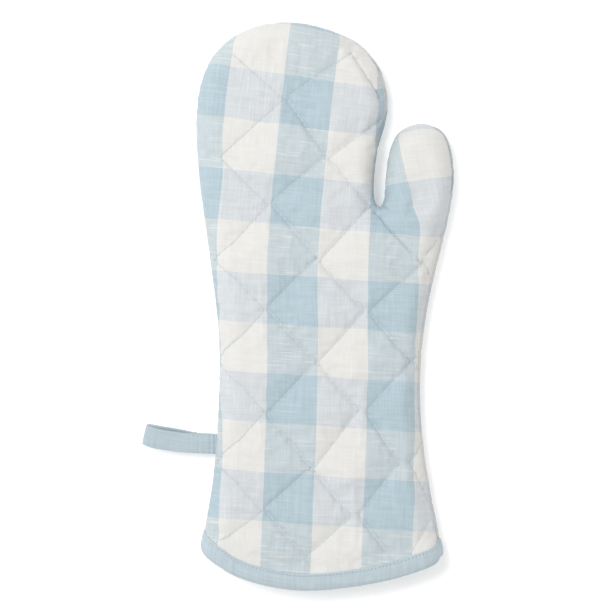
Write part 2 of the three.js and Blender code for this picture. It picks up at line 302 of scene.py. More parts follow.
def spline(points, steps):
    """The same smooth curve through the points that the CAD outline uses."""
    p = np.array([points[0], *points, points[-1]], float)
    t = np.linspace(0, 1, steps, endpoint=False)[:, None]
    runs = []
    for a, b, c, d in zip(p[:-3], p[1:-2], p[2:-1], p[3:]):
        v0, v1 = (c - a) / 2, (d - b) / 2
        runs.append((2 * b - 2 * c + v0 + v1) * t ** 3 + (-3 * b + 3 * c - 2 * v0 - v1) * t ** 2
                    + v0 * t + b)
    return np.vstack([*runs, p[-1:]])


def lengths_along(line):
    """How far along a line each of its points is."""
    return np.concatenate([[0], np.cumsum(np.linalg.norm(np.diff(line, axis=0), axis=1))])


def evenly(points, count):
    """This many points at even steps along a line."""
    length = lengths_along(points)
    at = np.linspace(0, length[-1], count)
    return np.stack([np.interp(at, length, points[:, i]) for i in range(points.shape[1])], 1)


def resample(points, spacing):
    """Points about this far apart along a line."""
    return evenly(points, max(int(round(lengths_along(points)[-1] / spacing)), 1) + 1)


def unit(vectors):
    return vectors / np.linalg.norm(vectors, axis=-1, keepdims=True)


def square_to(direction):
    """A direction in plan, turned a quarter turn to the left."""
    return np.stack([-direction[..., 1], direction[..., 0]], -1)


def smoothstep(low, high, x):
    t = np.clip((x - low) / (high - low), 0, 1)
    return t * t * (3 - 2 * t)


seam_line = spline(SEAM_LINE, CURVE_STEPS)
seen = seam_line[seam_line[:, 1] > SEAM_SEEN_ABOVE]
seam_line += (FRONT_BOX[0][0] - seen[:, 0].min(), FRONT_BOX[1][1] - seen[:, 1].max())
seam_line = resample(seam_line, SEAM_SPACING)
cuff = spline(CUFF_LINE, CURVE_STEPS)
cuff[:, 1] += box_mm("cuff_binding")[0][1] - cuff[:, 1].min()


def cuff_y(x):
    return np.interp(x, cuff[:, 0], cuff[:, 1])


def cuff_stretch(x):
    """How much longer a step square to the cuff's edge is when it is taken along y."""
    return np.hypot(1, (cuff_y(x + 2) - cuff_y(x - 2)) / 4)


def above_cuff(points):
    """Distance of plan points from the cuff's edge, square to it."""
    return (points[:, 1] - cuff_y(points[:, 0])) / cuff_stretch(points[:, 0])


outline = seam_line[seam_line[:, 1] > cuff_y(seam_line[:, 0]) + RAW_EDGE]
outline = resample(outline, SEAM_SPACING)


def point_tree(points):
    """A search tree over plan points."""
    tree = kdtree.KDTree(len(points))
    for i, (x, y) in enumerate(points):
        tree.insert((x, y, 0), i)
    tree.balance()
    return tree


seam_tree = point_tree(seam_line)


def nearest_edge(points):
    """For each plan point: its distance from the seam, and the inward direction there."""
    vertex = np.array([seam_tree.find((x, y, 0))[1] for x, y in points])
    best = np.full(len(points), 1e9)
    direction = np.zeros((len(points), 2))
    for shift in (-1, 0):
        start = np.clip(vertex + shift, 0, len(seam_line) - 2)
        a, run = seam_line[start], seam_line[start + 1] - seam_line[start]
        squared = (run ** 2).sum(1)
        t = np.clip(((points - a) * run).sum(1) / squared, 0, 1)
        away = points - a - t[:, None] * run
        length = np.linalg.norm(away, axis=1)
        # Very near the seam the direction is the seam's own, which has no rounding in it.
        own = square_to(run) / np.sqrt(squared)[:, None]
        away = away / np.maximum(length, 1e-9)[:, None]
        inward = np.where((length > VERY_NEAR)[:, None], away, own)
        closer = length < best
        best = np.where(closer, length, best)
        direction = np.where(closer[:, None], inward, direction)
    return best, direction


def inside(points, loop):
    """Which plan points are inside a closed loop."""
    x, y = points[:, 0], points[:, 1]
    result = np.zeros(len(points), bool)
    for (x0, y0), (x1, y1) in zip(loop, np.roll(loop, -1, 0)):
        if y0 != y1:
            crosses = (y0 > y) != (y1 > y)
            result ^= crosses & (x < (x1 - x0) * (y - y0) / (y1 - y0) + x0)
    return result


# ---- Check pattern and quilting lines ----

def in_thumb(p):
    """How much a plan point belongs to the thumb, from 0 to 1."""
    return smoothstep(*THUMB_CLOTH[0], p[:, 0]) * smoothstep(*THUMB_CLOTH[1], p[:, 1])


def growing(y, most, start, end, power):
    """An amount that grows from nothing at a start, and reaches its most at an end."""
    return most * np.clip((y - start) / (end - start), 0, None) ** power


def cloth_lean(p):
    """How far the warp stripes lean sideways: right at the fingers, left at the cuff and thumb."""
    y = p[:, 1]
    t = in_thumb(p)
    fingers = growing(y, *FINGER_LEAN) * (1 - t)
    return growing(y, *WRIST_LEAN) + fingers + THUMB_LEAN * (y - THUMB_UPRIGHT) * t


def weave_coordinates(p):
    """Plan points in the cloth's own directions, in millimetres, with the lean taken out."""
    x, y = p[:, 0], p[:, 1]
    drawn = sum(most * smoothstep(*across, x) * smoothstep(*along, y)
                for most, across, along in DRAWN_ROUND)
    t = in_thumb(p)
    fall = WEFT_FALL + WEFT_FALL_GAIN * np.clip(y - FALL_START, 0, None)
    fingers = fall * (x - CHECK_MIDDLE)
    thumb = THUMB_DROP - THUMB_RISE * (x - THUMB_SIDE) * smoothstep(*THUMB_FOOT, y)
    v = y + fingers * (1 - t) + thumb * t - CHECK_Y
    return np.stack([x - cloth_lean(p) - drawn - CHECK_X, v], 1)


# ---- Panels ----

def beside(line, gap):
    """Points on both sides of a line, this far from it."""
    across = square_to(unit(np.gradient(line, axis=0))) * gap
    return np.vstack([line + across, line - across])


def clear_of_seam(points, loop):
    """Which plan points are inside a loop and clear of the seam."""
    return inside(points, loop) & (nearest_edge(points)[0] > SEAM_CLEARANCE)


def above_mouth(points, gap):
    """Which plan points are more than a gap above the panel's cut edge at the mouth."""
    return points[:, 1] > cuff_y(points[:, 0]) + RAW_EDGE + gap


def far_from(points, others, gap):
    """Which plan points are more than a gap from all the others."""
    tree = point_tree(others)
    return np.array([tree.find((x, y, 0))[2] > gap for x, y in points])


def quilting_runs(loop, spacing):
    """The quilting's lines as far as they run over the panel."""
    runs = []
    for row in QUILTING:
        line = resample(row, spacing)
        keep = clear_of_seam(line, loop) & above_mouth(line, MOUTH_CLEARANCE)
        for run in np.split(np.arange(len(line)), np.nonzero(~keep)[0]):
            run = run[keep[run]]
            if len(run) > 3:
                runs.append(line[run])
    return runs


def crease_rails(loop, spacing):
    """Lines on both sides of each crease, which give its slopes points of their own."""
    rails = []
    for crease, _, width in CREASES:
        line = resample(np.array(crease, float), spacing / 2)
        across = square_to(unit(line[-1] - line[0]))
        for shift in CREASE_RAILS:
            rail = line + across * (shift * width)
            rails.append(rail[clear_of_seam(rail, loop)])
    return rails


def seam_rings(edge, loop, spacing):
    """Rows of points along the seam, where the cloth turns over."""
    inward = nearest_edge(edge[1:-1])[1]
    rings = []
    for depth in RING_DEPTHS:
        ring = edge[1:-1] + inward * depth
        ring = ring[(nearest_edge(ring)[0] > depth - 0.05) & inside(ring, loop)]
        rings.append(ring[above_mouth(ring, MOUTH_SPACES * spacing)])
    return np.vstack(rings)


def middle_grid(loop, spacing):
    """Points in even triangles over the panel's middle."""
    low, high = loop.min(0), loop.max(0)
    rows = []
    for i, y in enumerate(np.arange(low[1], high[1], spacing * math.sqrt(3) / 2)):
        x = np.arange(low[0] + (i % 2) * spacing / 2, high[0], spacing)
        rows.append(np.stack([x, np.full(len(x), y)], 1))
    grid = np.vstack(rows)
    grid = grid[inside(grid, loop)]
    grid = grid[nearest_edge(grid)[0] > RING_DEPTHS[-1] + 0.7 * spacing]
    return grid[above_mouth(grid, MOUTH_SPACES * spacing)]


def panel_plan(spacing):
    """Points and triangles over the whole panel in plan, finest at the seam and the quilting."""
    edge = resample(outline, spacing * 0.9)
    mouth_x = np.linspace(edge[-1, 0], edge[0, 0], int((edge[0, 0] - edge[-1, 0]) / spacing))
    mouth = np.stack([mouth_x, cuff_y(mouth_x) + RAW_EDGE], 1)[1:-1]
    loop = np.vstack([edge, mouth])

    lines = quilting_runs(loop, spacing)
    rails = np.zeros((0, 2))
    if spacing < COARSE_SPACING:
        rails = np.vstack([beside(line, GROOVE_WIDTH) for line in lines])
        rails = rails[clear_of_seam(rails, loop)]
        lines += crease_rails(loop, spacing)
        rails = rails[far_from(rails, np.vstack(lines), 0.5)]
    fixed = np.vstack([loop, *lines, rails])
    loose = np.vstack([seam_rings(edge, loop, spacing), middle_grid(loop, spacing)])
    points = np.vstack([fixed, loose[far_from(loose, fixed, 0.5 * spacing)]])

    edges = []
    start = len(loop)
    for line in lines:
        edges += [(start + i, start + i + 1) for i in range(len(line) - 1)]
        start += len(line)
    face = list(range(len(loop)))
    result = geometry.delaunay_2d_cdt([Vector(p) for p in points], edges, [face], 1, 1e-5)
    plan = np.array([tuple(v) for v in result[0]])
    triangles = np.array([f for f in result[2] if len(f) == 3])
    return plan, triangles


def seam_roll(plan, inward):
    """How far the seam rolls to the front. It does where the mitt's edge faces the thumb side."""
    open_end, fingers_side, foot = SLOT
    in_slot = smoothstep(*open_end, plan[:, 1]) * smoothstep(*fingers_side, plan[:, 0])
    in_slot *= smoothstep(*foot, plan[:, 1])
    return SEAM_ROLL * np.clip(-inward[:, 0], 0, 1) * (1 - (1 - SLOT_ROLL) * in_slot)


class Side:
    """One panel's rounded form: where its surface is for a plan point and a depth below it."""

    CURL = math.radians(50)  # how far the cloth turns under itself before it meets the seam
    CURL_SHARE = 0.09  # share of the bevel that the turned-under part takes
    CURL_RISE = 2.0

    def __init__(self, up, bevel, flat_z):
        self.up, self.bevel, self.flat_z = up, bevel, flat_z

    def surface(self, plan, depth):
        """The points in space, and the same points in the plane of the uncut cloth."""
        distance, inward = nearest_edge(plan)
        roll = seam_roll(plan, inward)
        back_rim = np.clip(BACK_RIM - roll, 0, None)
        rim = (roll if self.up > 0 else back_rim) + depth
        seam = np.maximum(roll, back_rim) + SEAM_TUCK + depth
        rim_z = SEAM_Z + ROLL_LIFT * roll + self.up * self.CURL_RISE * math.sin(self.CURL)
        rise = self.flat_z - self.up * depth - rim_z
        tau = np.clip(distance / self.bevel, 0, 1)
        under = tau < self.CURL_SHARE
        theta = np.where(under, (tau / self.CURL_SHARE - 1) * self.CURL,
                         (tau - self.CURL_SHARE) / (1 - self.CURL_SHARE) * math.pi / 2)
        tuck = (seam - rim) / (1 - math.cos(self.CURL))
        inset = rim + np.where(under, tuck, self.bevel - rim) * (1 - np.cos(theta))
        z = rim_z + np.where(under, self.up * self.CURL_RISE, rise) * np.sin(theta)
        near = distance < self.bevel
        place = plan + inward * np.where(near, inset - distance, 0)[:, None]
        arc = (math.pi / 2 - theta) * (self.bevel - rim + np.abs(rise)) / 2
        spread = np.where(near, self.bevel - distance - arc, 0)
        return np.column_stack([place, z]), plan + inward * (0.5 * spread)[:, None]


FRONT = Side(1, FRONT_BEVEL, TOP_Z)
BACK = Side(-1, BACK_BEVEL, BACK_REST)


def vertex_normals(points, faces):
    """The outward direction at each point, as a mean over the triangles there."""
    a, b, c = (points[faces[:, i]] for i in range(3))
    across = np.cross(b - a, c - a)
    total = np.zeros_like(points)
    for i in range(3):
        np.add.at(total, faces[:, i], across)
    return total / np.maximum(np.linalg.norm(total, axis=1), 1e-12)[:, None]


def add_object(name, data):
    made = bpy.data.objects.new(name, data)
    bpy.context.scene.collection.objects.link(made)
    return made


def place_mesh(name, points, faces, uv=None, normals=None):
    """A smooth-shaded object from points in millimetres, with none of them below the table."""
    points = np.array(points, float)
    points[:, 2] = np.maximum(points[:, 2], TABLE_GAP)
    mesh = bpy.data.meshes.new(name)
    mesh.from_pydata((points * MM).tolist(), [], [list(map(int, f)) for f in faces])
    mesh.update()
    mesh.polygons.foreach_set("use_smooth", [True] * len(mesh.polygons))
    if uv is not None:
        layer = mesh.uv_layers.new(name="Weave")
        corner = np.zeros(len(mesh.loops), np.int32)
        mesh.loops.foreach_get("vertex_index", corner)
        layer.data.foreach_set("uv", (np.asarray(uv)[corner] * UV_SCALE).ravel())
    if normals is not None:
        mesh.normals_split_custom_set_from_vertices(normals.tolist())
    return add_object(name, mesh)


def grid_faces(rows, columns, close_rows):
    """The faces of a grid of points whose rows are closed rings."""
    faces = []
    for i in range(rows if close_rows else rows - 1):
        for j in range(columns):
            k, m = (i + 1) % rows, (j + 1) % columns
            faces.append((i * columns + j, k * columns + j, k * columns + m, i * columns + m))
    return faces


def grid_uv(columns, rows):
    """Coordinates for a grid's points, from what differs by column and what differs by row."""
    return np.stack(np.broadcast_arrays(columns, rows), -1).reshape(-1, 2)


def segment_distance(points, line):
    """Distance from each plan point to the nearest part of a line."""
    best = np.full(len(points), 1e9)
    for a, b in zip(line[:-1], line[1:]):
        run = b - a
        t = np.clip(((points - a) @ run) / (run @ run), 0, 1)
        best = np.minimum(best, np.linalg.norm(points - a - t[:, None] * run, axis=1))
    return best


def quilt_pull(points):
    """How far the nearest quilting draws the cloth in, from 0 to 1."""
    pull = np.zeros(len(points))
    for row, strength in zip(QUILTING, ROW_STRENGTH):
        near = segment_distance(points, row)
        pull = np.maximum(pull, strength * np.exp(-(near / QUILT_REACH) ** 1.5))
    return pull


def grooved(points):
    """How deep the groove along the stitches is."""
    depth = np.zeros(len(points))
    for row, strength in zip(QUILTING, ROW_STRENGTH):
        for a, b in zip(row[:-1], row[1:]):
            rising = (b[0] - a[0]) * (b[1] - a[1]) > 0
            deepest = strength * GROOVE_DEPTH * (RISING_SHARE if rising else 1)
            near = segment_distance(points, np.array([a, b]))
            depth = np.maximum(depth, deepest * np.exp(-(near / GROOVE_WIDTH) ** 2))
    fade = smoothstep(*GROOVE_FADE, nearest_edge(points)[0])
    clear = smoothstep(BINDING_WIDTH, BINDING_WIDTH + 4, above_cuff(points))
    return depth * fade * clear


def pressed(points):
    """How far the quilting holds the cloth below its fullest form."""
    fade = smoothstep(*QUILT_FADE, nearest_edge(points)[0])
    clear = smoothstep(*QUILTED_ABOVE, above_cuff(points))
    share = QUILT_LEAST + (1 - QUILT_LEAST) * quilt_pull(points)
    return share * QUILT_DEPTH * fade * clear + UNDER_BINDING * (1 - clear)


def creased(points):
    """How far the folds round the foot of the thumb go in. They get deeper from their start."""
    total = np.zeros(len(points))
    for line, depth, width in CREASES:
        line = np.array(line, float)
        length = np.linalg.norm(line[1] - line[0])
        share = ((points - line[0]) @ ((line[1] - line[0]) / length)) / length
        near = segment_distance(points, line)
        total += depth * smoothstep(*CREASE_START, share) * np.exp(-(near / width) ** 2)
    return total * smoothstep(*CREASE_FADE, nearest_edge(points)[0])


class Panel:
    """One panel's outer cloth, with the means to find a place on it from a plan point."""

    def __init__(self, side, plan, triangles):
        self.plan = plan
        self.faces = triangles if side.up > 0 else triangles[:, ::-1]
        flat = [(x, y, 0) for x, y in plan]
        self.tree = bvhtree.BVHTree.FromPolygons(flat, triangles.tolist())
        points, cloth = side.surface(plan, 0)
        self.uv = weave_coordinates(cloth)
        outward = vertex_normals(points, self.faces)
        self.crease = creased(plan) if side.up > 0 else np.zeros(len(plan))
        points = points - outward * np.maximum(pressed(plan), self.crease)[:, None]
        self.points = self.inflate(points)
        outward = vertex_normals(self.points, self.faces)
        groove = grooved(plan) * np.clip(1 - self.crease, 0, 1)
        self.points = self.points - outward * groove[:, None]
        self.normals = vertex_normals(self.points, self.faces)

    def pins(self):
        """The points that the seam, the binding and the quilting stitches hold down."""
        low = above_cuff(self.plan) < TOPSTITCH_ABOVE + NEEDLE_REACH
        edge_gap = nearest_edge(self.plan)[0]
        folds = (self.crease > CREASE_HELD) & (edge_gap > TURNED_UNDER)
        held = set(np.nonzero(low | (edge_gap < TURNED_UNDER) | folds)[0].tolist())
        tree = point_tree(self.plan)
        for row in QUILTING:
            for x, y in resample(row, STITCH_PITCH):
                _, i, distance = tree.find((x, y, 0))
                if distance < PIN_REACH and edge_gap[i] > STITCH_MARGIN:
                    held.add(i)
        return sorted(held)

    def inflate(self, points):
        """The cloth, a little too large for its place, blown out between its stitches.

        No point moves further than LARGEST_PUFF.
        """
        piece = place_mesh("cloth", points, self.faces)
        piece.vertex_groups.new(name="pins").add(self.pins(), 1.0, "REPLACE")
        cloth = piece.modifiers.new("Cloth", "CLOTH")
        settings = cloth.settings
        settings.quality = 5
        settings.bending_stiffness = 1.5
        settings.use_pressure = True
        settings.uniform_pressure_force = 4
        settings.shrink_min = -0.02
        settings.vertex_group_mass = "pins"
        settings.effector_weights.gravity = 0
        cloth.collision_settings.use_collision = False
        cloth.point_cache.frame_end = SIMULATION_FRAMES
        for number in range(1, SIMULATION_FRAMES + 1):
            bpy.context.scene.frame_set(number)
        shown = piece.evaluated_get(bpy.context.evaluated_depsgraph_get())
        result = np.zeros(len(points) * 3, np.float32)
        shown.data.vertices.foreach_get("co", result)
        moved = result.reshape(-1, 3) / MM - points
        bpy.data.meshes.remove(piece.data)
        bpy.context.scene.frame_set(1)
        length = np.linalg.norm(moved, axis=1)[:, None]
        return points + moved * np.minimum(1, LARGEST_PUFF / np.maximum(length, 1e-9))

    def at(self, places):
        """Points and outward normals on the cloth for some plan points."""
        points, normals = [], []
        for x, y in places:
            near, _, index, _ = self.tree.find_nearest((x, y, 0))
            corners = self.faces[index]
            flat = [Vector((*self.plan[i], 0)) for i in corners]
            for values, result in ((self.points, points), (self.normals, normals)):
                solid = [Vector(values[i]) for i in corners]
                result.append(geometry.barycentric_transform(near, *flat, *solid))
        return np.array(points), unit(np.array(normals))


# ---- Pieces divided into a fingers part and a palm part ----

def bend_at_thumb(piece):
    """Bakes the piece's placement into its mesh."""
    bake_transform(piece)


def mount(piece, part):
    """Puts a fingers piece on the hand, and bakes a palm piece's placement into its mesh."""
    if part == "fingers":
        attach(piece, "hand")
    else:
        bend_at_thumb(piece)


def finish(piece, materials, nodes):
    for material in materials:
        piece.data.materials.append(material)
    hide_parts(*nodes)


def cut_edges(faces):
    """The directed edges that only one triangle has, and that triangle's number."""
    pairs = np.vstack([faces[:, [0, 1]], faces[:, [1, 2]], faces[:, [2, 0]]])
    owner = np.tile(np.arange(len(faces)), 3)
    known = set(map(tuple, pairs.tolist()))
    return [(a, b, t) for (a, b), t in zip(pairs.tolist(), owner) if (b, a) not in known]


def add_layer(name, plan, faces, outer, inner, uv, material, nodes):
    """One sheet of the mitt with its real thickness, as a fingers piece and a palm piece.

    The two meet along the quilting where the thumb never moves them, and share their normals.
    """
    count = len(plan)
    points = np.vstack([outer, inner])
    normals = np.vstack([vertex_normals(outer, faces), -vertex_normals(inner, faces)])
    uv = np.vstack([uv, uv])
    in_fingers = inside(plan[faces].mean(axis=1), FINGER_REGION)
    edges = cut_edges(faces)
    for part, chosen in (("fingers", in_fingers), ("palm", ~in_fingers)):
        own = faces[chosen]
        shell = [*own.tolist(), *(own[:, ::-1] + count).tolist()]
        shell += [(b, a, a + count, b + count) for a, b, t in edges if chosen[t]]
        used = np.unique(np.concatenate([np.asarray(f) for f in shell]))
        number = np.zeros(2 * count, int)
        number[used] = np.arange(len(used))
        shell = [number[list(f)] for f in shell]
        piece = place_mesh(f"{name}_{part}", points[used], shell, uv[used], normals[used])
        mount(piece, part)
        finish(piece, [material], nodes)


def add_threads(name, plan_places, ends, normals, middles, nodes):
    """Short stitches between needle holes, as a fingers piece and a palm piece."""
    in_fingers = inside(plan_places, FINGER_REGION)
    for part, chosen in (("fingers", in_fingers), ("palm", ~in_fingers)):
        if not chosen.any():
            continue
        piece = thread_mesh(f"{name}_{part}", ends[chosen], normals[chosen], middles[chosen],
                            THREAD_RADIUS, HOLE_RADIUS)
        mount(piece, part)
        finish(piece, [thread_material, hole_shade_material], nodes)


def rings_round(centres, radius, first, second, sides):
    """Rings of points round some centres, each in the plane of two directions."""
    turn = (np.arange(sides) * 2 * math.pi / sides)[:, None]
    return centres[..., None, :] + radius * (np.cos(turn) * first[..., None, :]
                                             + np.sin(turn) * second[..., None, :])


def thread_mesh(name, ends, normals, middles, radius, hole_radius):
    """Stitches that rise out of one needle hole and go down the next, with a dark disc at each
    hole, painted as the shade inside it.
    """
    steps = np.array([0, 0.12, 0.3, 0.5, 0.7, 0.88, 1])
    from_middle = np.abs(2 * steps - 1)
    a, b = ends[:, 0], ends[:, 1]
    t = steps[:, None]
    path = (a[:, None] * (1 - t) * (1 - 2 * t) + middles[:, None] * 4 * t * (1 - t)
            + b[:, None] * t * (2 * t - 1))
    path += normals[:, None] * (radius * (1.0 - STITCH_DIP * from_middle ** 4))[:, None]
    along = unit(np.gradient(path, axis=1))
    side = unit(np.cross(along, normals[:, None]))
    thick = radius * (1 - STITCH_THINNING * from_middle ** 6)[:, None, None]
    tubes = rings_round(path, thick, side, np.cross(side, along), THREAD_SIDES)
    # Discs at the needle holes, which carry their painted shade.
    holes = rings_round(a + normals * HOLE_LIFT, hole_radius,
                        np.cross(normals, side[:, 0]), side[:, 0], HOLE_SIDES)

    count = len(ends)
    tube = np.array(grid_faces(len(steps), THREAD_SIDES, False))[:, [0, 3, 2, 1]]
    number = np.arange(count)
    tube_faces = number[:, None, None] * tubes[0, ..., 0].size + tube
    hole_faces = tubes[..., 0].size + number[:, None] * HOLE_SIDES + np.arange(HOLE_SIDES)
    faces = tube_faces.reshape(-1, 4).tolist() + hole_faces.tolist()
    length = np.linalg.norm(b - a, axis=1)
    uv = grid_uv(np.arange(THREAD_SIDES) / THREAD_SIDES, t * length[:, None, None])
    uv = np.vstack([uv, np.zeros((count * HOLE_SIDES, 2))])
    points = np.vstack([tubes.reshape(-1, 3), holes.reshape(-1, 3)])
    piece = place_mesh(name, points, faces, uv)
    # Faces of the discs that paint the shade inside the needle holes.
    in_hole_shade = np.arange(len(faces)) >= count * len(tube)
    piece.data.polygons.foreach_set("material_index", in_hole_shade.astype(np.int32))
    return piece


# ---- Binding and strap ----

def mouth_ends(above):
    """Where the curve this far above the cuff's edge meets the seam, on the left and right."""
    over = above_cuff(seam_line) - above
    ends = []
    for i in np.nonzero(np.diff(np.sign(over)))[0][[-1, 0]]:
        t = over[i] / (over[i] - over[i + 1])
        ends.append(seam_line[i, 0] + t * (seam_line[i + 1, 0] - seam_line[i, 0]))
    return ends


def mouth_ring(above, depth):
    """Points round the mouth: along the front from left to right, and back along the back."""
    left, right = mouth_ends(above)
    x = left + (right - left) * (1 - np.cos(np.linspace(0, math.pi, 400))) / 2
    plan = np.stack([x, cuff_y(x) + above * cuff_stretch(x)], 1)
    distance = nearest_edge(plan)[0]
    halves = []
    for side in (FRONT, BACK):
        points = side.surface(plan, depth)[0]
        points = points[distance > side.bevel * side.CURL_SHARE]
        halves.append(evenly(points, BINDING_COLUMNS // 2))
    return np.vstack([halves[0], halves[1][::-1]])


def ripple(along, seed, waves):
    """A sum of slow waves of unequal length, between about -1 and 1."""
    rng = np.random.default_rng(seed)
    total = np.zeros_like(along)
    for length in waves:
        total += np.sin(along * 2 * math.pi / length + rng.uniform(0, 2 * math.pi))
    return total / len(waves)


def add_binding():
    """The strip of cloth folded over the mouth's edge, and the stitching that holds it."""
    ring_length = lengths_along(mouth_ring(5, 0))[-1]
    along = np.linspace(0, ring_length, BINDING_COLUMNS)
    waves = BINDING_WAVE * ripple(along, 1, BINDING_WAVES)
    needles = NEEDLE_DIP * np.cos(along * 2 * math.pi / TOPSTITCH_PITCH)
    rows = []
    for above, depth in BINDING_PROFILE:
        soft, near_stitch = BINDING_INSIDE, 0
        if depth < 3:
            soft = smoothstep(*BINDING_SOFT[0], above) * smoothstep(*BINDING_SOFT[1], above)
            near_stitch = math.exp(-((above - TOPSTITCH_ABOVE) / NEEDLE_REACH) ** 2)
        points, inner = mouth_ring(above, depth), mouth_ring(above, depth + 1)
        rows.append(points + (inner - points) * (waves * soft + needles * near_stitch)[:, None])
    grid = np.array(rows)
    uv = grid_uv(along[None], lengths_along(np.array(BINDING_PROFILE))[:, None])
    piece = place_mesh("cuff_binding", grid.reshape(-1, 3),
                       grid_faces(len(rows), BINDING_COLUMNS, True), uv)
    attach(piece, "hand")
    finish(piece, [binding_material], ["cuff_binding"])

    # The first rows of the profile lie on the front, where the stitching shows.
    row = min(range(6), key=lambda i: abs(BINDING_PROFILE[i][0] - TOPSTITCH_ABOVE))
    line, inner = grid[row], mouth_ring(TOPSTITCH_ABOVE, 3)
    places = evenly(np.hstack([line, line - inner]), int(ring_length / TOPSTITCH_PITCH))
    places, outward = places[:, :3], places[:, 3:]
    ends = np.stack([places[:-1], places[1:]], 1)
    piece = thread_mesh("binding_stitches", ends, unit(outward)[:-1], ends.mean(axis=1),
                        # The discs here paint the shade inside the binding's needle holes.
                        TOPSTITCH_RADIUS, BINDING_HOLE_RADIUS)
    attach(piece, "hand")
    finish(piece, [binding_thread_material, binding_hole_shade_material],
           ["binding_stitching"])


def strap_profile():
    """The strap's section: flat faces that thin towards their stitched edges, and round ends."""
    half, thick = STRAP_WIDTH / 2, STRAP_CLOTH / 2
    top = [(half * t * STRAP_EDGE, thick * (1 - STRAP_THINNING * abs(t) ** 3))
           for t in np.linspace(1, -1, 13)]
    end = [(-half * (STRAP_EDGE + (1 - STRAP_EDGE) * math.sin(a)),
            thick * (1 - STRAP_THINNING) * math.cos(a)) for a in np.linspace(0, math.pi, 7)[1:-1]]
    profile = np.array(top + end)
    profile = np.vstack([profile, -profile])
    from_stitches = (np.abs(profile[:, 0]) - half * STRAP_STITCHED) / STRAP_GROOVE_WIDTH
    profile[:, 1] -= STRAP_GROOVE * np.exp(-from_stitches ** 2) * np.sign(profile[:, 1])
    return profile


def add_strap():
    """The hanging strap: one length of folded cloth whose two ends go into the side seam."""
    path = np.array(STRAP_PATH, float)
    path[:, 0] += LOOP_BOX[0][0] - STRAP_REACH
    path = evenly(spline(path, 12), STRAP_ROWS)
    along = np.linspace(0, lengths_along(path)[-1], len(path))
    share = along / along[-1]
    forward = np.gradient(path, axis=0)
    forward[:, 1] = 0
    # The strap curves towards the fingers, so its width leans over at its folded end.
    tilt = STRAP_TILT * smoothstep(*STRAP_TILTED, path[:, 0])
    # The rear leg leans and is cupped behind the front one, so the gap between them is dark.
    rear = smoothstep(*STRAP_REAR[0], share) * smoothstep(*STRAP_REAR[1], share)
    side = np.stack([tilt, np.ones(len(path)), STRAP_LEAN * rear], 1)
    normal = unit(np.cross(unit(forward), side))

    profile = strap_profile()
    near_root = smoothstep(*STRAP_PLEATED, path[:, 0])
    root_wave = ripple(along, 4, STRAP_PLEATS) * STRAP_PLEAT * near_root
    from_middle = (profile[:, 0] / (STRAP_WIDTH / 2)) ** 2
    pleats = root_wave[:, None] * (0.5 + 0.5 * from_middle)
    cup = STRAP_CUP * rear[:, None] * (1 - from_middle)
    points = (path[:, None] + profile[:, :1] * unit(side)[:, None]
              + (profile[:, 1:] + (pleats - cup)[:, :, None]) * normal[:, None])
    rows, columns = points.shape[:2]
    faces = grid_faces(rows, columns, False)
    faces += [tuple(range(columns)), tuple(range((rows - 1) * columns, rows * columns))[::-1]]
    uv = grid_uv(along[:, None], lengths_along(profile)[None])
    piece = place_mesh("hanging_strap", points.reshape(-1, 3), faces, uv)
    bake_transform(piece)
    finish(piece, [shaded_strap_material], ["hanging_loop", "hanging_loop_tail"])


# ---- Materials ----

class Graph:
    """A material whose node expressions are written as calls."""

    def __init__(self, name, roughness=0.9):
        self.material = bpy.data.materials.new(name)
        self.material.use_nodes = True
        self.tree = self.material.node_tree
        self.shader = self.tree.nodes["Principled BSDF"]
        self.shader.inputs["Roughness"].default_value = roughness
        self.shader.inputs["Sheen Weight"].default_value = 0.25
        self.shader.inputs["Sheen Roughness"].default_value = 0.5
        self.shader.inputs["Specular IOR Level"].default_value = 0.25

    def put(self, value, socket):
        if isinstance(value, bpy.types.NodeSocket):
            self.tree.links.new(value, socket)
        elif socket.type == "RGBA":
            socket.default_value = (*value, 1)
        else:
            socket.default_value = value

    def node(self, kind, settings, values):
        node = self.tree.nodes.new(kind)
        for key, value in settings.items():
            setattr(node, key, value)
        for key, value in values.items():
            self.put(value, node.inputs[key])
        return node

    def math(self, operation, *values):
        values = dict(enumerate(values))
        return self.node("ShaderNodeMath", {"operation": operation}, values).outputs[0]

    def add(self, a, b):
        return self.math("ADD", a, b)

    def minus(self, a, b):
        return self.math("SUBTRACT", a, b)

    def times(self, a, b):
        return self.math("MULTIPLY", a, b)

    def between(self, a, b, share):
        return self.add(a, self.times(share, b - a))

    def ramp(self, low, high, value):
        values = {"Value": value, "From Min": low, "From Max": high}
        settings = {"interpolation_type": "SMOOTHSTEP"}
        return self.node("ShaderNodeMapRange", settings, values).outputs[0]

    def mix(self, amount, a, b):
        node = self.node("ShaderNodeMix", {"data_type": "RGBA"}, {})
        self.put(amount, node.inputs["Factor"])
        for name, value in (("A", a), ("B", b)):
            socket = next(s for s in node.inputs if s.name == name and s.type == "RGBA")
            self.put(value, socket)
        return next(s for s in node.outputs if s.type == "RGBA")

    def scaled(self, colour, amount):
        values = {0: colour, "Scale": amount}
        return self.node("ShaderNodeVectorMath", {"operation": "SCALE"}, values).outputs[0]

    def noise(self, x, y, scale, detail=2.0):
        place = self.node("ShaderNodeCombineXYZ", {}, {"X": x, "Y": y}).outputs[0]
        values = {"Vector": place, "Scale": scale, "Detail": detail}
        settings = {"noise_dimensions": "2D"}
        return self.node("ShaderNodeTexNoise", settings, values).outputs["Fac"]

    def weave_place(self):
        """The cloth's own coordinates, in millimetres."""
        uv = self.node("ShaderNodeUVMap", {"uv_map": "Weave"}, {}).outputs[0]
        parts = self.node("ShaderNodeSeparateXYZ", {}, {0: uv})
        return [self.math("DIVIDE", parts.outputs[i], UV_SCALE) for i in (0, 1)]

    def bump(self, height, distance, strength, below=None):
        """Relief of a depth in millimetres, on top of any relief below it."""
        values = {"Height": height, "Distance": distance * MM, "Strength": strength}
        if below is not None:
            values["Normal"] = below
        return self.node("ShaderNodeBump", {}, values).outputs[0]


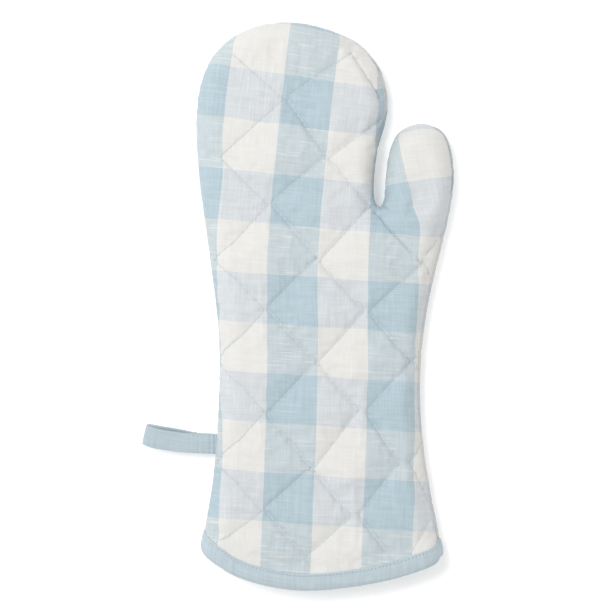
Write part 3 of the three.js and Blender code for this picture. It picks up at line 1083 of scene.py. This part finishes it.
def thread_nodes(g, own, cross, sign):
    """One direction's threads: how high they stand, their tone, and their thick places."""
    number = g.math("FLOOR", own)
    middle = g.minus(g.math("FRACT", own), 0.5)
    rounding = g.minus(1, g.times(g.math("POWER", middle, 2), 4))
    over = g.times(g.math("SINE", g.times(g.add(cross, number), math.pi)), THREAD_SWING * sign)
    slow = g.times(cross, ALONG_THREAD)
    # The two factors only keep the threads' tones and thick places from lining up.
    tone = g.noise(g.times(number, 7.31), slow, 1.0, 1.0)
    slub = g.ramp(*SLUB_RANGE, g.noise(g.times(number, 3.77), slow, 1.0, 0.0))
    return g.add(g.add(rounding, over), g.times(slub, SLUB_HEIGHT)), tone, slub


def cloth_material(name, light, check=None):
    """Plain-woven cloth: threads over and under, slubs in them, and a check of a second colour."""
    g = Graph(name)
    x, y = g.weave_place()
    x = g.add(x, g.minus(g.noise(x, y, DRIFT_SCALE), 0.5))
    y = g.add(y, g.minus(g.noise(y, x, DRIFT_SCALE), 0.5))
    warp_at, weft_at = (g.math("DIVIDE", at, THREAD_PITCH) for at in (x, y))
    warp, warp_tone, warp_slub = thread_nodes(g, warp_at, weft_at, 1)
    weft, weft_tone, weft_slub = thread_nodes(g, weft_at, warp_at, -1)
    warp = g.add(warp, WARP_LEAD)
    top = g.ramp(-0.5, 0.5, g.minus(weft, warp))
    share = g.add(g.times(top, SHARE_CONTRAST), WEFT_SHARE - SHARE_CONTRAST * 0.4)
    dark = check or light
    warp_dark = weft_dark = 1.0
    if check:
        x_part, y_part = (g.math("FRACT", g.math("DIVIDE", at, 2 * width))
                          for at, width in ((x, WARP_CHECK), (y, WEFT_CHECK)))
        warp_dark = g.math("LESS_THAN", x_part, 0.5)
        weft_dark = g.math("GREATER_THAN", y_part, 0.5)
    share = g.add(share, g.times(weft_slub, g.between(*WEFT_SLUBS, weft_dark)))
    share = g.minus(share, g.times(warp_slub, g.between(*WARP_SLUBS, warp_dark)))
    colour = g.mix(share, g.mix(warp_dark, light, dark), g.mix(weft_dark, light, dark))
    # Dyed weft over undyed warp looks a little more violet than either yarn.
    crossed = g.times(weft_dark, g.minus(1, warp_dark))
    colour = g.mix(g.times(crossed, CROSSED_SHARE), colour, CROSSED_TINT)
    tone = g.add(g.times(warp_tone, 0.5), g.times(weft_tone, 0.5))
    uneven = g.add(UNEVEN_UNDYED, g.times(g.add(warp_dark, weft_dark), UNEVEN_DYED))
    shade = g.times(g.minus(tone, 0.5), uneven)
    shade = g.add(shade, g.times(g.noise(x, y, PATCH_SCALE, 3.0), PATCH_SHADE))
    height = g.math("MAXIMUM", warp, weft)
    # Painted shade: darker where the threads are low, in the gaps between them, and lighter on
    # their tops.
    painted_gap_shade = g.ramp(*GAP_HEIGHTS, height)
    shade = g.add(g.add(shade, CLOTH_SHADE), g.times(painted_gap_shade, GAP_PAINTED_SHADE))
    g.put(g.scaled(colour, shade), g.shader.inputs["Base Color"])
    crumple = g.bump(g.noise(x, y, CRUMPLE_SCALE, 3.0), *CRUMPLE_BUMP)
    g.put(g.bump(height, *THREAD_BUMP, crumple), g.shader.inputs["Normal"])
    return g.material


def fibre_material(name, colour, scale, roughness=0.95):
    """Loose or twisted fibres without a weave."""
    g = Graph(name, roughness)
    x, y = g.weave_place()
    streak = g.noise(g.times(x, 4), y, scale, 4.0)
    darkest, more = FIBRE_SHADE
    shade = g.add(darkest, g.times(streak, more))
    g.put(g.scaled(colour, shade), g.shader.inputs["Base Color"])
    g.put(g.bump(streak, *FIBRE_BUMP), g.shader.inputs["Normal"])
    return g.material


face_material = cloth_material("gingham", WHITE_YARN, BLUE_YARN)
binding_material = cloth_material("binding_cloth", BINDING_BLUE)
# The strap's material carries that painted shade.
shaded_strap_material = cloth_material("strap_cloth", STRAP_BLUE_SHADED)
lining_material = cloth_material("lining_cloth", WHITE_YARN)
padding_material = fibre_material("padding", PADDING_WHITE, 1.5)
thread_material = fibre_material("thread", THREAD_COLOUR, 2.5, 0.7)
# Painted shade inside the needle holes.
hole_shade_material = fibre_material("painted_hole_shade", HOLE_SHADE_COLOUR, 2.5)
binding_thread_material = fibre_material("binding_thread", BINDING_THREAD, 2.5, 0.7)
# Painted shade inside the binding's needle holes.
binding_hole_shade_material = fibre_material("binding_painted_hole_shade", BINDING_HOLE_SHADE, 2.5)


# ---- The pieces ----

def add_panel(side, label, fine, coarse):
    """The three layers of one side of the mitt, and the quilting's stitches in its cloth."""
    def nodes(kind):
        return [f"{label}_{kind}", f"thumb_{label}_{kind}"]

    panel = Panel(side, *fine)
    inner = panel.points - panel.normals * FACE_THICKNESS
    add_layer(f"{label}_cloth", panel.plan, panel.faces, panel.points, inner, panel.uv,
              face_material, nodes("face"))

    plan, faces = coarse
    sunk = pressed(plan)
    if side.up > 0:
        sunk = np.maximum(sunk, creased(plan))
    else:
        faces = faces[:, ::-1]
    top = side.surface(plan, np.minimum(PADDING_DEPTH + sunk, LINING_DEPTH - LEAST_PADDING))[0]
    low = side.surface(plan, LINING_DEPTH - PADDING_OVERLAP)[0]
    lining_top, flat = side.surface(plan, LINING_DEPTH)
    lining_low = side.surface(plan, LINING_DEPTH + LINING_THICKNESS)[0]
    add_layer(f"{label}_padding", plan, faces, top, low, flat,
              padding_material, nodes("batting"))
    add_layer(f"{label}_lining", plan, faces, lining_top, lining_low, flat,
              lining_material, nodes("lining"))
    add_quilting(panel, label)


def add_quilting(panel, label):
    """The quilting's stitches, where they show."""
    lines = [resample(row, STITCH_PITCH) for row in QUILTING]
    pairs = np.vstack([np.hstack([line[:-1], line[1:]]) for line in lines])
    middle = (pairs[:, :2] + pairs[:, 2:]) / 2
    clear = inside(middle, outline) & (nearest_edge(middle)[0] > STITCH_CLEARANCE)
    clear &= above_cuff(middle) > BINDING_WIDTH + 1
    # In the fold at the foot of the thumb the stitches lie too deep to be seen.
    fold = np.array(THUMB_FOLD, float)
    opened = middle[:, 1] < fold[:, 1].mean() - FOLD_OPENS
    clear &= (segment_distance(middle, fold) > FOLD_HIDES) | opened
    pairs, middle = pairs[clear], middle[clear]
    first, normals = panel.at(pairs[:, :2])
    ends = np.stack([first, panel.at(pairs[:, 2:])[0]], 1)
    rows = ("outer_side", "middle", "thumb_side", "thumb_base")
    add_threads(f"{label}_stitches", middle, ends, normals, panel.at(middle)[0],
                [f"{label}_quilting_{row}" for row in rows])


def add_seam():
    """The side seam's thread, on the edge where the panels meet."""
    seam = resample(outline, SEAM_PITCH)
    inward = np.column_stack([nearest_edge(seam)[1], np.zeros(len(seam))])
    points = FRONT.surface(seam, 0)[0] - inward * SEAM_SINK
    ends = np.stack([points[:-1], points[1:]], 1)
    add_threads("seam_stitches", (seam[:-1] + seam[1:]) / 2, ends, -inward[:-1],
                (points[:-1] + points[1:]) / 2,
                ["seam_thread_fingers", "seam_thread_wrist", "seam_thread_thumb"])


plans = panel_plan(PLAN_SPACING), panel_plan(COARSE_SPACING)
add_panel(FRONT, "front", *plans)
add_panel(BACK, "back", *plans)
add_seam()
add_binding()
add_strap()


# ---- Camera, light and floor ----

# In metres and watts.
VIEW_WIDTH = 0.3578  # what the camera sees across at the seam's height
CAMERA_PLACE = (0.00403, -0.00023)
CAMERA_HEIGHT = 1.2
SENSOR_WIDTH = 36
FLOOR_HALF = 2.5
FLOOR_GLOW = 0.28
SKY_STRENGTH = 0.62
KEY_PLACE = (-0.46, 0.30, 1.25)
KEY_POWER = 9.2
KEY_SIZE = 0.5


def add_camera():
    data = bpy.data.cameras.new("camera")
    data.sensor_width = SENSOR_WIDTH
    data.lens = SENSOR_WIDTH * CAMERA_HEIGHT / VIEW_WIDTH
    camera = add_object("camera", data)
    camera.location = (*CAMERA_PLACE, CAMERA_HEIGHT + SEAM_Z * MM)
    bpy.context.scene.camera = camera


def add_floor():
    corners = [(-1, -1), (1, -1), (1, 1), (-1, 1)]
    mesh = bpy.data.meshes.new("floor")
    mesh.from_pydata([(x * FLOOR_HALF, y * FLOOR_HALF, 0) for x, y in corners], [], [(0, 1, 2, 3)])
    material = bpy.data.materials.new("floor")
    material.use_nodes = True
    shader = material.node_tree.nodes["Principled BSDF"]
    shader.inputs["Base Color"].default_value = (*FLOOR_WHITE, 1)
    shader.inputs["Roughness"].default_value = 1
    shader.inputs["Specular IOR Level"].default_value = 0
    # A little light of its own keeps the floor white right up to the mitt's shadow.
    shader.inputs["Emission Color"].default_value = (1, 1, 1, 1)
    shader.inputs["Emission Strength"].default_value = FLOOR_GLOW
    mesh.materials.append(material)
    add_object("floor", mesh)


def add_lights():
    world = bpy.data.worlds.new("world")
    world.use_nodes = True
    sky = world.node_tree.nodes["Background"]
    sky.inputs["Color"].default_value = (1, 1, 1, 1)
    sky.inputs["Strength"].default_value = SKY_STRENGTH
    bpy.context.scene.world = world
    data = bpy.data.lights.new("key", "AREA")
    data.energy = KEY_POWER
    data.size = KEY_SIZE
    key = add_object("key", data)
    key.location = KEY_PLACE
    key.rotation_euler = (-key.location).to_track_quat("-Z", "Y").to_euler()


add_camera()
add_floor()
add_lights()
bpy.context.scene.view_settings.view_transform = "Standard"
